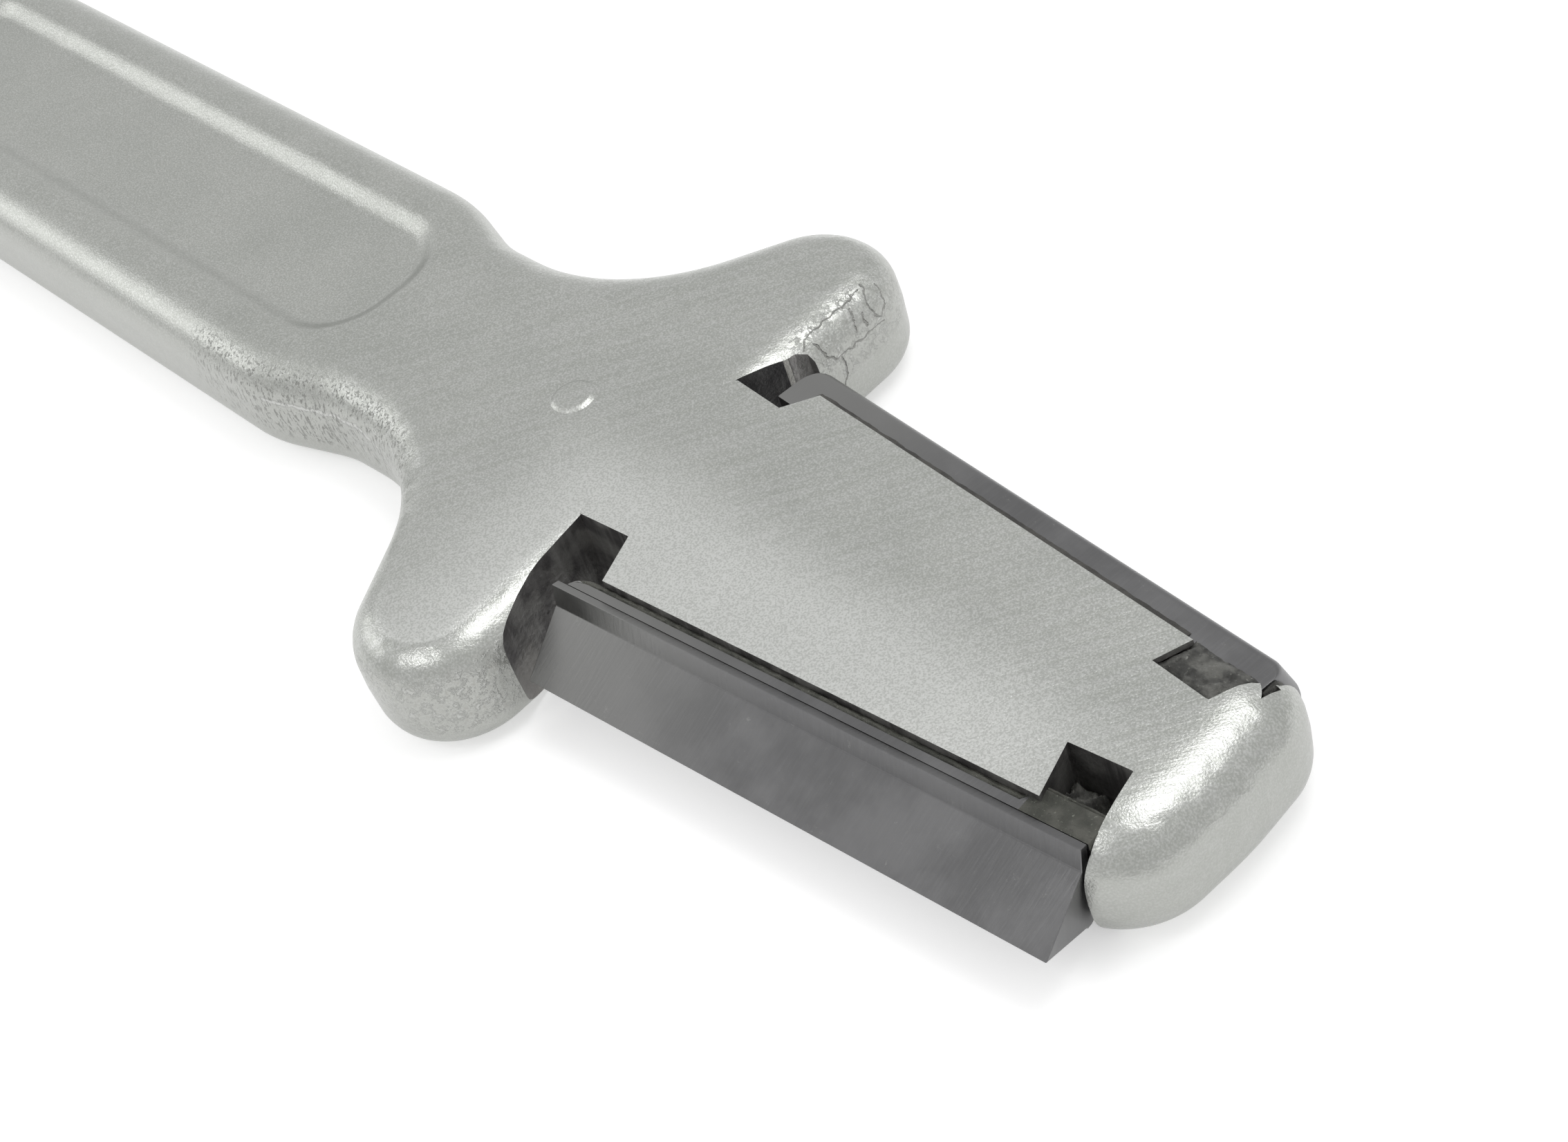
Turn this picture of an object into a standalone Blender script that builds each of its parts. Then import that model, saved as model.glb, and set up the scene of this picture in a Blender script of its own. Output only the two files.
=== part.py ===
"""Carbide burnisher for cabinet scrapers.

A die-cast aluminium handle and head carries two carbide bars, one with a triangular nose and one with a
drop-shaped nose. Each bar is glued to one side of the head plate, on its own bed of adhesive.
The model is in metres, +X towards the tip, +Y towards the drop-shaped bar, +Z up, and it rests on z = 0.
"""

import math

import bmesh
import bpy
from mathutils import Matrix

# Lengths along X are stations, measured towards the tip from the guard notches' inner corners.
THICKNESS = 0.010
EDGE_RADIUS = 0.0036

HANDLE_REACH = 0.128
HANDLE_WIDTH = 0.0272
HANDLE_END_RADIUS = 0.0125
SHOULDER_STATION = -0.0408
SHOULDER_RADIUS = 0.016
WAIST_STATION = -0.0325
WAIST_WIDTH = 0.0225
WAIST_RADIUS = 0.012

GUARD_SPAN = 0.0552
FLANK_STATION = -0.0184
FLANK_RADIUS = 0.016
EAR_REAR_STATION = -0.0082
EAR_REAR_RADIUS = 0.009
EAR_FRONT_STATION = 0.0043
EAR_FRONT_RADIUS = 0.0080
EAR_FRONT_SWEEP = math.radians(3)
EAR_ROOT_RADIUS = 0.0002

BAR_LENGTH = 0.0495
TRIANGLE_START = 0.0035
DROP_START = 0.0041
FIT_GAP = 0.0003

# The tip is laid out from the station that the triangular bar ends at.
BARS_END = TRIANGLE_START + BAR_LENGTH
TIP_OVERHANG = 0.0041
TIP_REACH = BARS_END + TIP_OVERHANG
TIP_SIDE_SETBACK = 0.0026
TIP_REAR_SETBACK = 0.0052
TIP_NOTCH_SETBACK = 0.0070
TIP_TRIANGLE_HALF_WIDTH = 0.0100
TIP_DROP_HALF_WIDTH = 0.0094
TIP_SIDE_RADIUS = 0.0050
TIP_CORNER_RADIUS = 0.0050
TIP_BULGE = 0.0010
TIP_NOSE_RADIUS = 0.040

# The notches at the bars' ends, and the sweep that all their walls share.
NOTCH_SWEEP = math.radians(17.5)
GUARD_NOTCH_HALF_WIDTH = 0.0082
GUARD_NOTCH_LENGTH = 0.0054
TIP_NOTCH_HALF_WIDTH = 0.0041
TIP_NOTCH_LENGTH = 0.0053

# The head plate tapers towards the tip. Half widths are given where the taper line crosses station zero.
BAR_TOE_IN = math.radians(4.9)
TRIANGLE_SIDE_HALF_WIDTH = 0.0126
DROP_SIDE_HALF_WIDTH = 0.0111

# The triangular bar stands on a bead of adhesive along the plate's side.
TRIANGLE_BEAD_WIDTH = 0.0008
TRIANGLE_BEAD_DEPTH = 0.00045
TRIANGLE_BEAD_RADIUS = 0.00035
TRIANGLE_BEAD_START = 0.0016
TRIANGLE_BEAD_END = 0.0014
TRIANGLE_VALLEY_DEPTH = 0.0006
TRIANGLE_RIDGE_DEPTH = 0.0003
TRIANGLE_RIDGE_WIDTH = 0.0006
TRIANGLE_STRIP_WIDTH = 0.0005
TRIANGLE_STRIP_HEIGHT = 0.0018
TRIANGLE_NOSE_ANGLE = math.radians(30.3)

# The drop-shaped bar's tail lies in a slot in the plate's other side, in front of its adhesive.
SLOT_LIP = 0.0005
DROP_BED_THICKNESS = 0.0005
DROP_BED_END = 0.0010
DROP_INSERTION = 0.0016
DROP_FLAT_WIDTH = 0.0012
DROP_NOSE_DEPTH = 0.0027
DROP_END_RADIUS = 0.0018
DROP_SEAT_OFFSET = 0.0004
DROP_POCKET_MARGIN = 0.0003

RECESS_WIDTH = 0.0150
RECESS_DEPTH = 0.0013
RECESS_FILLET_RADIUS = 0.0024
RECESS_NEAR_STATION = -0.0357
RECESS_END_MARGIN = 0.0090
RECESS_CORNER_RADIUS = 0.0062

DIMPLE_STATION = -0.0106
DIMPLE_WIDTH = 0.0039
DIMPLE_DEPTH = 0.00035

# How far every cutter runs past the surface that it cuts, and how much it trims from the plate's round edge.
OVERRUN = 0.0010
TRIM_ALLOWANCE = 0.0004

# Counts and steps that set how finely the curves are drawn.
ARC_STEP = math.radians(9)
LEAST_TURN = math.radians(1)
EDGE_STEPS = 5
NOSE_STEPS = 9
BEAD_STEPS = 3
RECESS_STEPS = 5
ROUNDED_EDGE_ANGLE = math.radians(60)
FLAT_ANGLE = math.radians(0.1)
WELD_DISTANCE = 0.000001
DIMPLE_SEGMENTS = 32
FULL_SIDE_SHARE = 0.98

COLLECTION_NAME = "scraper_burnisher"


def clear_scene():
    for obj in list(bpy.data.objects):
        bpy.data.objects.remove(obj, do_unlink=True)


def new_collection(name):
    collection = bpy.data.collections.new(name)
    bpy.context.scene.collection.children.link(collection)
    return collection


def make_material(name, colour, roughness, metallic):
    material = bpy.data.materials.new(name)
    material.use_nodes = True
    shader = material.node_tree.nodes["Principled BSDF"]
    shader.inputs["Base Color"].default_value = (*colour, 1.0)
    shader.inputs["Roughness"].default_value = roughness
    shader.inputs["Metallic"].default_value = metallic
    return material


def unit(start, end):
    length = math.hypot(end[0] - start[0], end[1] - start[1])
    return (end[0] - start[0]) / length, (end[1] - start[1]) / length, length


def turn_at(before, corner, after):
    in_x, in_y, _ = unit(before, corner)
    out_x, out_y, _ = unit(corner, after)
    return math.atan2(in_x * out_y - in_y * out_x, in_x * out_x + in_y * out_y)


def rounded(corners):
    """Points of a closed outline. Each corner is (x, y, radius), and its rounding is an arc.

    Two arcs that would meet on a side between them share its length in the ratio of their sizes.
    """
    count = len(corners)
    turns = [turn_at(corners[at - 1], corners[at], corners[(at + 1) % count]) for at in range(count)]
    runs = [corner[2] * math.tan(abs(turn) / 2) for corner, turn in zip(corners, turns)]
    points = []
    for index, (x, y, radius) in enumerate(corners):
        turn = turns[index]
        if radius == 0 or abs(turn) < LEAST_TURN:
            points.append((x, y))
            continue
        in_x, in_y, length_in = unit(corners[index - 1], (x, y))
        _, _, length_out = unit((x, y), corners[(index + 1) % count])
        fit_in = FULL_SIDE_SHARE * length_in / (runs[index] + runs[index - 1])
        fit_out = FULL_SIDE_SHARE * length_out / (runs[index] + runs[(index + 1) % count])
        run = runs[index] * min(1, fit_in, fit_out)
        arc_radius = run / math.tan(abs(turn) / 2)
        side = math.copysign(1, turn)
        start = (x - in_x * run, y - in_y * run)
        centre = (start[0] - in_y * arc_radius * side, start[1] + in_x * arc_radius * side)
        first = math.atan2(start[1] - centre[1], start[0] - centre[0])
        steps = max(2, math.ceil(abs(turn) / ARC_STEP))
        for step in range(steps + 1):
            angle = first + turn * step / steps
            points.append((centre[0] + arc_radius * math.cos(angle), centre[1] + arc_radius * math.sin(angle)))
    return points


def flat_solid(name, outline, thickness, matrix, collection):
    """A solid with a flat outline, drawn in the XY plane of the matrix and thickened evenly to both sides."""
    curve = bpy.data.curves.new(name, "CURVE")
    curve.dimensions = "2D"
    curve.fill_mode = "BOTH"
    curve.extrude = thickness / 2
    spline = curve.splines.new("POLY")
    spline.points.add(len(outline) - 1)
    for point, (x, y) in zip(spline.points, outline):
        point.co = (x, y, 0, 1)
    spline.use_cyclic_u = True
    drawing = bpy.data.objects.new(name + "_outline", curve)
    collection.objects.link(drawing)
    graph = bpy.context.evaluated_depsgraph_get()
    mesh = bpy.data.meshes.new_from_object(drawing.evaluated_get(graph))
    bpy.data.objects.remove(drawing, do_unlink=True)
    shape = bmesh.new()
    shape.from_mesh(mesh)
    bmesh.ops.remove_doubles(shape, verts=shape.verts, dist=WELD_DISTANCE)
    bmesh.ops.dissolve_limit(shape, angle_limit=FLAT_ANGLE, verts=shape.verts, edges=shape.edges)
    bmesh.ops.recalc_face_normals(shape, faces=shape.faces)
    shape.to_mesh(mesh)
    shape.free()
    solid = bpy.data.objects.new(name, mesh)
    solid.matrix_world = matrix
    collection.objects.link(solid)
    return solid


def slab(name, outline, low, high, collection):
    """A solid with a flat outline between two heights."""
    return flat_solid(name, outline, high - low, Matrix.Translation((0, 0, (low + high) / 2)), collection)


def round_edges(obj, radius, steps):
    modifier = obj.modifiers.new("round_edges", "BEVEL")
    modifier.width = radius
    modifier.segments = steps
    modifier.limit_method = "ANGLE"
    modifier.angle_limit = ROUNDED_EDGE_ANGLE
    modifier.use_clamp_overlap = False


def cut(obj, cutter, operation="DIFFERENCE"):
    cutter.hide_render = True
    cutter.display_type = "WIRE"
    modifier = obj.modifiers.new(cutter.name, "BOOLEAN")
    modifier.operation = operation
    modifier.solver = "EXACT"
    modifier.object = cutter


def shade(obj, material, angle=math.radians(25)):
    obj.data.materials.append(material)
    obj.data.shade_smooth()
    obj.data.set_sharp_from_angle(angle=angle)


def placed(points, centre_x):
    return [(x + centre_x, y) for x, y in points]


def plate_half_width(side_half_width, station):
    """Half width of the head plate on one side, measured at a station."""
    return side_half_width - station * math.tan(BAR_TOE_IN)


def beside_plate(start, along, outward, side, side_half_width):
    """The point that lies along the plate's edge from a station, and outward from the edge."""
    x = start + along * math.cos(BAR_TOE_IN) + outward * math.sin(BAR_TOE_IN)
    run = outward * math.cos(BAR_TOE_IN) - along * math.sin(BAR_TOE_IN)
    return x, side * (plate_half_width(side_half_width, start) + run)


def ear_front(half_width):
    """Where the guard's swept front face lies at a half width, at mid thickness."""
    return EAR_FRONT_STATION - (GUARD_SPAN / 2 - half_width) * math.tan(EAR_FRONT_SWEEP), half_width


def side_corners(side_half_width, tip_half_width):
    """Corners (station, half width, radius) of one side of the body, from the handle's end to the tip."""
    margin = EDGE_RADIUS + TRIM_ALLOWANCE
    plate_start, plate_side = ear_front(plate_half_width(side_half_width, 0) + margin)
    tip_rear = BARS_END - TIP_REAR_SETBACK
    return [
        (-HANDLE_REACH, HANDLE_WIDTH / 2, HANDLE_END_RADIUS),
        (SHOULDER_STATION, HANDLE_WIDTH / 2, SHOULDER_RADIUS),
        (WAIST_STATION, WAIST_WIDTH / 2, WAIST_RADIUS),
        (FLANK_STATION, WAIST_WIDTH / 2, FLANK_RADIUS),
        (EAR_REAR_STATION, GUARD_SPAN / 2, EAR_REAR_RADIUS),
        (EAR_FRONT_STATION, GUARD_SPAN / 2, EAR_FRONT_RADIUS),
        (plate_start, plate_side, EAR_ROOT_RADIUS),
        (tip_rear, plate_half_width(side_half_width, tip_rear) + margin, 0),
        (BARS_END - TIP_SIDE_SETBACK, tip_half_width, TIP_SIDE_RADIUS),
        (TIP_REACH - TIP_BULGE, tip_half_width, TIP_CORNER_RADIUS),
    ]


def body_outline():
    triangle_side = side_corners(TRIANGLE_SIDE_HALF_WIDTH, TIP_TRIANGLE_HALF_WIDTH)
    drop_side = side_corners(DROP_SIDE_HALF_WIDTH, TIP_DROP_HALF_WIDTH)
    nose = (TIP_REACH, 0, TIP_NOSE_RADIUS)
    return rounded([(x, -y, radius) for x, y, radius in triangle_side] + [nose] + drop_side[::-1])


def notch_wall(station, half_width, side, reach):
    """The point on a swept notch wall that lies at half width reach, on one side of the head."""
    return station + (reach - half_width) * math.tan(NOTCH_SWEEP), side * reach


def meet_plate(station, half_width, side_half_width):
    """Station where a swept wall from (station, half_width) crosses the plate's tapered edge."""
    sweep = math.tan(NOTCH_SWEEP)
    return (station + (side_half_width - half_width) * sweep) / (1 + sweep * math.tan(BAR_TOE_IN))


def guard_notch():
    """The guard notch's inner corners, (station, half width): at the guard, then at the plate."""
    far = GUARD_NOTCH_HALF_WIDTH - GUARD_NOTCH_LENGTH * math.tan(BAR_TOE_IN)
    return (0.0, GUARD_NOTCH_HALF_WIDTH), (GUARD_NOTCH_LENGTH, far)


def tip_notch():
    """The tip notch's inner corners, (station, half width): at the plate, then at the tip."""
    near = BARS_END - TIP_NOTCH_SETBACK
    far = TIP_NOTCH_HALF_WIDTH - TIP_NOTCH_LENGTH * math.tan(BAR_TOE_IN)
    return (near, TIP_NOTCH_HALF_WIDTH), (near + TIP_NOTCH_LENGTH, far)


def plate_ends(side_half_width):
    """Stations at which the plate's edge starts and ends, between the two notches."""
    return [meet_plate(*corner, side_half_width) for corner in (guard_notch()[1], tip_notch()[0])]


def channel_outline(side, side_half_width, outer_end, tip_walls):
    """Plan of the cut that leaves the head plate, its two notches and the room for one bar.

    The tip walls are the points that end the cut at the tip, from outside inwards.
    """
    near_edge, far_edge = plate_ends(side_half_width)
    guard_corner, plate_corner = guard_notch()
    plate_end_corner, tip_corner = tip_notch()
    front = EAR_FRONT_STATION + OVERRUN
    return [
        (guard_corner[0], side * guard_corner[1]),
        notch_wall(*guard_corner, side, outer_end),
        (front, side * outer_end),
        (front, side * GUARD_SPAN / 2),
        *tip_walls,
        (tip_corner[0], side * tip_corner[1]),
        (plate_end_corner[0], side * plate_end_corner[1]),
        (far_edge, side * plate_half_width(side_half_width, far_edge)),
        (near_edge, side * plate_half_width(side_half_width, near_edge)),
        (plate_corner[0], side * plate_corner[1]),
    ]


def mirrored_section(upper):
    """A closed section from its points above the mid plane, mirrored below it."""
    return upper + [(outward, -height) for outward, height in reversed(upper) if height > 0]


def triangle_section():
    """Section of the triangular bar as (outward, height) from the plate's edge and the mid plane."""
    half = THICKNESS / 2
    face = TRIANGLE_BEAD_WIDTH + 2 * FIT_GAP
    ridge_out = face + TRIANGLE_RIDGE_WIDTH
    strip_out = ridge_out + TRIANGLE_STRIP_WIDTH
    strip_low = half - TRIANGLE_RIDGE_DEPTH - TRIANGLE_STRIP_HEIGHT
    apex_out = strip_out + strip_low / math.tan(TRIANGLE_NOSE_ANGLE)
    return mirrored_section([
        (apex_out, 0.0),
        (strip_out, strip_low),
        (ridge_out, half - TRIANGLE_RIDGE_DEPTH),
        (face, half - TRIANGLE_VALLEY_DEPTH),
    ])


def drop_half_height():
    return THICKNESS / 2 - SLOT_LIP - FIT_GAP


def drop_section():
    """Section of the drop-shaped bar as (outward, height) from the plate's edge and the mid plane."""
    upper = []
    for step in range(NOSE_STEPS + 1):
        angle = math.pi / 2 * step / NOSE_STEPS
        outward = DROP_FLAT_WIDTH + DROP_NOSE_DEPTH * math.cos(angle)
        upper.append((outward, drop_half_height() * math.sin(angle)))
    upper.append((-DROP_INSERTION, drop_half_height()))
    return mirrored_section(upper)


def apex_width(section):
    return max(outward for outward, _ in section)


def bar_matrix(start, side, side_half_width, centre_x):
    """Axes of a bar: X outward from the plate's edge, Y up, Z along the bar, at the middle of its length."""
    x, y = beside_plate(start, BAR_LENGTH / 2, 0, side, side_half_width)
    outward = (math.sin(BAR_TOE_IN), side * math.cos(BAR_TOE_IN))
    axes = Matrix((
        (outward[0], 0, outward[1], x + centre_x),
        (outward[1], 0, -outward[0], y),
        (0, 1, 0, THICKNESS / 2),
        (0, 0, 0, 1),
    ))
    return axes


def strip_outline(start, ends, across, outer_radius, side, side_half_width, centre_x):
    """Plan of a strip along the plate's edge, from its ends and its distances outward from the edge."""
    corners = []
    for distance, outward, radius in (
        (ends[0], across[0], 0),
        (ends[1], across[0], 0),
        (ends[1], across[1], outer_radius),
        (ends[0], across[1], outer_radius),
    ):
        x, y = beside_plate(start, distance, outward, side, side_half_width)
        corners.append((x + centre_x, y, radius))
    return rounded(corners)


def slot_depth():
    return DROP_INSERTION + DROP_BED_THICKNESS + 2 * FIT_GAP


def tip_seat_end():
    """Station of the wall that the drop-shaped bar's end meets in the tip."""
    width = apex_width(drop_section())
    return beside_plate(DROP_START, BAR_LENGTH, width, 1, DROP_SIDE_HALF_WIDTH)[0] + FIT_GAP


def slot_outline():
    """Plan of the slot for the drop-shaped bar's tail, from the guard notch into the tip."""
    plate_corner = guard_notch()[1]
    start = plate_corner[0] - OVERRUN
    end = tip_seat_end()
    outline = []
    for station, outward in ((start, -slot_depth()), (end, -slot_depth()), (end, OVERRUN), (start, OVERRUN)):
        outline.append((station, plate_half_width(DROP_SIDE_HALF_WIDTH, station) + outward))
    return outline


def recess_cutter(name, centre_x, face, into, cutters):
    """A long hollow with round corners and a wide fillet at its floor, cut into one face of the handle."""
    half = RECESS_WIDTH / 2
    far = -HANDLE_REACH + RECESS_END_MARGIN
    outline = placed(
        rounded([
            (far, -half, RECESS_CORNER_RADIUS),
            (RECESS_NEAR_STATION, -half, RECESS_CORNER_RADIUS),
            (RECESS_NEAR_STATION, half, RECESS_CORNER_RADIUS),
            (far, half, RECESS_CORNER_RADIUS),
        ]),
        centre_x,
    )
    levels = (face + into * RECESS_DEPTH, face - into * 2 * RECESS_FILLET_RADIUS)
    cutter = slab(name, outline, min(levels), max(levels), cutters)
    round_edges(cutter, RECESS_FILLET_RADIUS, RECESS_STEPS)
    return cutter


def dimple_cutter(centre_x, cutters):
    half = DIMPLE_WIDTH / 2
    radius = (half * half + DIMPLE_DEPTH * DIMPLE_DEPTH) / (2 * DIMPLE_DEPTH)
    mesh = bpy.data.meshes.new("dimple_cutter")
    shape = bmesh.new()
    bmesh.ops.create_uvsphere(shape, u_segments=DIMPLE_SEGMENTS, v_segments=DIMPLE_SEGMENTS, radius=radius)
    shape.to_mesh(mesh)
    shape.free()
    cutter = bpy.data.objects.new("dimple_cutter", mesh)
    cutter.location = (centre_x + DIMPLE_STATION, 0.0, THICKNESS + radius - DIMPLE_DEPTH)
    cutters.objects.link(cutter)
    return cutter


def make_body(centre_x, parts, cutters, material):
    body = slab("cast_body", placed(body_outline(), centre_x), 0.0, THICKNESS, parts)
    round_edges(body, EDGE_RADIUS, EDGE_STEPS)
    low = -OVERRUN
    high = THICKNESS + OVERRUN
    tip_corner = tip_notch()[1]

    triangle_width = apex_width(triangle_section())
    pocket_end = plate_half_width(TRIANGLE_SIDE_HALF_WIDTH, TRIANGLE_START) + triangle_width + FIT_GAP
    tip_walls = [notch_wall(*tip_corner, -1, GUARD_SPAN / 2)]
    plan = channel_outline(-1, TRIANGLE_SIDE_HALF_WIDTH, pocket_end, tip_walls)
    cut(body, slab("triangle_channel", placed(plan, centre_x), low, high, cutters))

    pocket_width = max(apex_width(drop_section()), EDGE_RADIUS + TRIM_ALLOWANCE) + DROP_POCKET_MARGIN
    pocket_end = plate_half_width(DROP_SIDE_HALF_WIDTH, 0) + pocket_width
    seat_end = tip_seat_end()
    seat_width = plate_half_width(DROP_SIDE_HALF_WIDTH, seat_end) - DROP_SEAT_OFFSET
    tip_walls = [
        (seat_end, GUARD_SPAN / 2),
        (seat_end, seat_width),
        notch_wall(*tip_corner, 1, seat_width),
    ]
    plan = channel_outline(1, DROP_SIDE_HALF_WIDTH, pocket_end, tip_walls)
    cut(body, slab("drop_channel", placed(plan, centre_x), low, high, cutters))
    slot = slab("drop_slot", placed(slot_outline(), centre_x), SLOT_LIP, THICKNESS - SLOT_LIP, cutters)
    cut(body, slot)

    cut(body, recess_cutter("recess_top", centre_x, THICKNESS, -1, cutters))
    cut(body, recess_cutter("recess_bottom", centre_x, 0.0, 1, cutters))
    cut(body, dimple_cutter(centre_x, cutters))
    shade(body, material)


def make_triangle_side(centre_x, parts, carbide, adhesive):
    where = (-1, TRIANGLE_SIDE_HALF_WIDTH, centre_x)
    matrix = bar_matrix(TRIANGLE_START, *where)
    bar = flat_solid("triangular_bar", triangle_section(), BAR_LENGTH, matrix, parts)
    shade(bar, carbide)

    near_edge, far_edge = plate_ends(TRIANGLE_SIDE_HALF_WIDTH)
    ends = (-TRIANGLE_BEAD_START, far_edge - near_edge + TRIANGLE_BEAD_END)
    across = (FIT_GAP, FIT_GAP + TRIANGLE_BEAD_WIDTH)
    outline = strip_outline(near_edge, ends, across, 0, *where)
    low = TRIANGLE_BEAD_DEPTH
    bead = slab("triangular_bar_adhesive", outline, low, THICKNESS - low, parts)
    round_edges(bead, TRIANGLE_BEAD_RADIUS, BEAD_STEPS)
    shade(bead, adhesive)


def make_drop_side(centre_x, parts, cutters, carbide, adhesive):
    where = (1, DROP_SIDE_HALF_WIDTH, centre_x)
    matrix = bar_matrix(DROP_START, *where)
    bar = flat_solid("drop_bar", drop_section(), BAR_LENGTH + 2 * OVERRUN, matrix, parts)
    across = (-DROP_INSERTION - OVERRUN, apex_width(drop_section()))
    plan = strip_outline(DROP_START, (0.0, BAR_LENGTH), across, DROP_END_RADIUS, *where)
    cut(bar, slab("drop_bar_plan", plan, -OVERRUN, THICKNESS + OVERRUN, cutters), "INTERSECT")
    shade(bar, carbide)

    near_edge, _ = plate_ends(DROP_SIDE_HALF_WIDTH)
    inner = -slot_depth() + FIT_GAP
    across = (inner, inner + DROP_BED_THICKNESS)
    ends = (0.0, BAR_LENGTH - DROP_BED_END - (near_edge - DROP_START))
    outline = strip_outline(near_edge, ends, across, 0, *where)
    low = THICKNESS / 2 - drop_half_height()
    bed = slab("drop_bar_adhesive", outline, low, THICKNESS - low, parts)
    shade(bed, adhesive)


def build():
    clear_scene()
    parts = new_collection(COLLECTION_NAME)
    cutters = new_collection(COLLECTION_NAME + "_cutters")
    aluminium = make_material("cast_aluminium", (0.47, 0.48, 0.46), 0.42, 1.0)
    carbide = make_material("carbide", (0.16, 0.16, 0.165), 0.34, 1.0)
    adhesive = make_material("adhesive", (0.11, 0.11, 0.095), 0.55, 0.0)
    stations = [point[0] for point in body_outline()]
    centre_x = -(min(stations) + max(stations)) / 2
    make_body(centre_x, parts, cutters, aluminium)
    make_triangle_side(centre_x, parts, carbide, adhesive)
    make_drop_side(centre_x, parts, cutters, carbide, adhesive)


build()
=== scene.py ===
"""Looks of the carbide burnisher for cabinet scrapers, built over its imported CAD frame.

Lengths are in millimetres until a mesh is made. x is the station towards the tip, from the inner corners of
the guard notches. y points to the drop-nosed bar, on the far side, and z is the height above the plane that
the tool lies on. The triangular bar is on the near side.
"""

import math

import bmesh
import bpy
from mathutils import Matrix, Vector, noise


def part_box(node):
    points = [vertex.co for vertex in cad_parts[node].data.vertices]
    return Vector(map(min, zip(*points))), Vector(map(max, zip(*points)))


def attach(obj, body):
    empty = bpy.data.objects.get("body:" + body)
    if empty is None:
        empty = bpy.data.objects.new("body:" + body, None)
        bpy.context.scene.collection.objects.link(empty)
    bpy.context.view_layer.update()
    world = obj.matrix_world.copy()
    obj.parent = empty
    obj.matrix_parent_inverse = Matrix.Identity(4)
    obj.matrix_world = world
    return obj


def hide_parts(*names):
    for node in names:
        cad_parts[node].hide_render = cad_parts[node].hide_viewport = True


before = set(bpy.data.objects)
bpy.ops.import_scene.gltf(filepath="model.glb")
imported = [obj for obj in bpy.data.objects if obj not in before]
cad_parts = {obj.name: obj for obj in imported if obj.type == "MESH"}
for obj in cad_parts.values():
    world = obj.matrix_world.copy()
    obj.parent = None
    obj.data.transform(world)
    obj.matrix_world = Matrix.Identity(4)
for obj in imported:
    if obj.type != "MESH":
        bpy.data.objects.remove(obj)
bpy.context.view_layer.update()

MM = 0.001
X, Y, Z = range(3)
THICKNESS = 10.0
MID = THICKNESS / 2
HANDLE_REACH = 128.0
ORIGIN_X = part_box("cast_body")[0].x / MM + HANDLE_REACH

# How far a cutter or a joined solid runs on past a face, how far two surfaces keep out of one plane, and
# how far neighbouring points keep apart.
OVERRUN = 1.0
SKIN = 0.02
HAIR = 0.01

# The step of drawn arcs, the share of a side that two arcs may fill, the angle from which an edge is
# sharp, the weight of large faces in the shading, and the ratio between the scales of the noise's octaves.
ARC_STEP = math.radians(3)
ARC_FIT = 0.98
SHARP_ANGLE = math.radians(32)
NORMAL_WEIGHT = 90
LACUNARITY = 2.1

# Camera, fitted to the photograph: its place, and the axes of its frame as rows (right, down, forward).
CAMERA_PLACE = (143.4, -72.6, 143.7)
CAMERA_AXES = ((0.66327, 0.70165, -0.2603), (0.38803, -0.61984, -0.68207), (-0.63992, 0.3514, -0.68339))
CAMERA_LENS = 63.49
CAMERA_SENSOR = 36.0
CAMERA_CLIP = 5.0

# Section of the casting: two roundings joined by walls that lean inwards from the parting line. Each
# rounding is a superellipse that runs out softly into the flat face.
TOP_RADIUS = 3.8
BOTTOM_RADIUS = 2.9
TIP_TOP_RADIUS = 4.4
TIP_BOTTOM_RADIUS = 3.9
ROUNDING_STRETCH = 1.25
ROUNDING_POWER = 2.3
ROUNDING_STEPS = 12
DRAFT = math.radians(2.5)
CASTING_BEVEL = 0.08

# Corners of the casting's parting line, (station, half width, radius), from the handle's end to the guard.
NEAR_GUARD = (
    (-HANDLE_REACH, 13.6, 12.5),
    (-40.3, 13.6, 16.0),
    (-32.0, 11.1, 12.0),
    (-18.2, 10.6, 16.0),
    (-7.9, 27.6, 9.0),
    (3.7, 27.6, 8.0),
)
FAR_GUARD = (
    (-HANDLE_REACH, 13.4, 12.5),
    (-41.2, 13.4, 20.0),
    (-33.2, 11.0, 12.0),
    (-18.9, 11.1, 18.0),
    (-8.8, 26.9, 9.0),
    (1.9, 26.9, 8.0),
)
# Corners of the tip's parting line, (station, y, radius).
TIP_BODY = (
    (42.0, -11.0, 6.0),
    (56.6, -11.7, 7.0),
    (57.1, 0.0, 30.0),
    (56.2, 10.1, 5.6),
    (42.0, 9.6, 6.0),
)

# Plan of the flat head plate, its edges straight and tapered, with its necks at the guard and at the tip.
PLATE = (
    (-6.0, -4.0), (-1.3, -6.6), (0.0, -8.3), (5.25, -7.85), (7.0, -12.0), (47.5, -8.5), (46.0, -4.15),
    (51.0, -3.6), (51.0, 3.6), (46.0, 4.15), (47.1, 7.0), (7.1, 10.5), (5.25, 7.85), (0.0, 8.3),
    (-1.6, 6.4), (-6.0, 4.0),
)
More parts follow.
